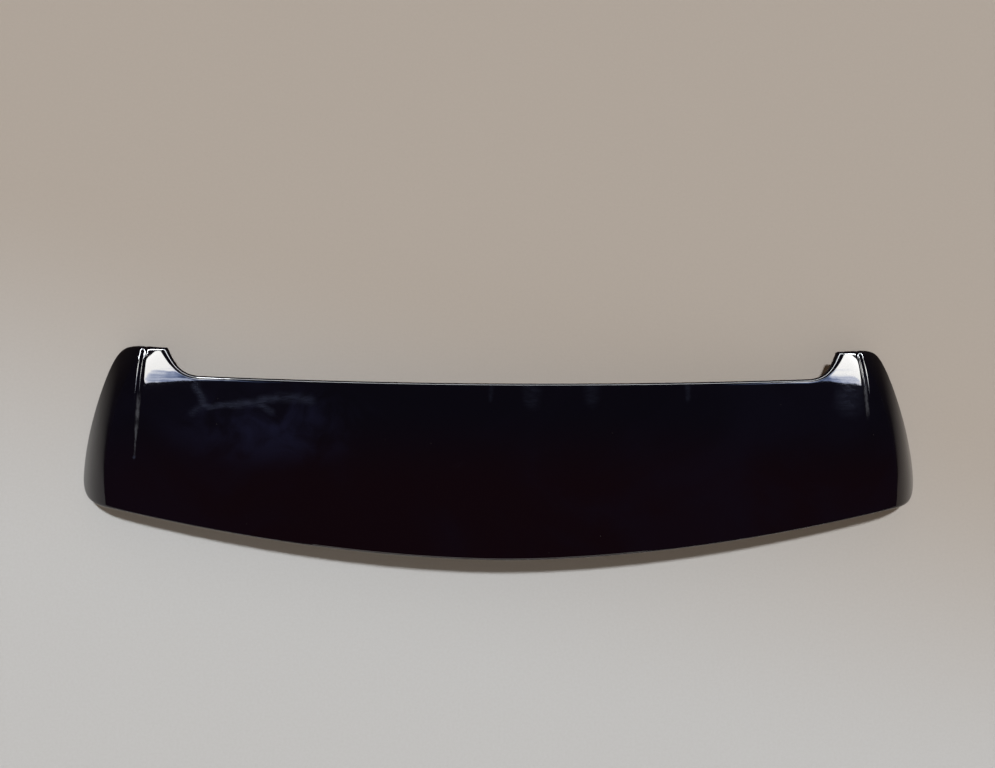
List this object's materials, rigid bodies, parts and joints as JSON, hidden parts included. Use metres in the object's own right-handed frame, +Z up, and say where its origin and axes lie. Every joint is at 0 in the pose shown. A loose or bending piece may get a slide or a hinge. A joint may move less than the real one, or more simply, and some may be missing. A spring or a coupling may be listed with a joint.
{
  "type": "rear roof spoiler",
  "caption": "Gloss black rear roof spoiler for an estate car's tailgate, with wrapped side walls, forward corner horns and studs underneath.",
  "frame": {"origin": "centre of the part's box in plan, on the plane that the feet of the side walls stand on", "axes": "+X across the car to the right, +Y forward towards the horns, +Z up"},
  "size_m": [1.222, 0.313, 0.114],
  "materials": {
    "gloss_black": "black base coat under a polished clear coat",
    "grained_black": "fine moulded grain, satin",
    "foam": "closed-cell foam, matt",
    "zinc_steel": "bright zinc plate",
    "nylon": "natural moulded nylon"
  },
  "bodies": {
    "root": {"outer_skin": "gloss_black", "inner_panel": "grained_black", "front_seal": "foam", "side_seal_left": "foam", "side_seal_right": "foam", "horn_pad_left": "foam", "horn_pad_right": "foam", "retaining_clip_left": "nylon", "retaining_clip_right": "nylon", "stud_1": "zinc_steel", "stud_2": "zinc_steel", "stud_3": "zinc_steel", "stud_4": "zinc_steel", "stud_5": "zinc_steel", "stud_6": "zinc_steel", "stud_washer_1": "foam", "stud_washer_2": "foam", "stud_washer_3": "foam", "stud_washer_4": "foam", "stud_washer_5": "foam", "stud_washer_6": "foam"}
  },
  "joints": []
}
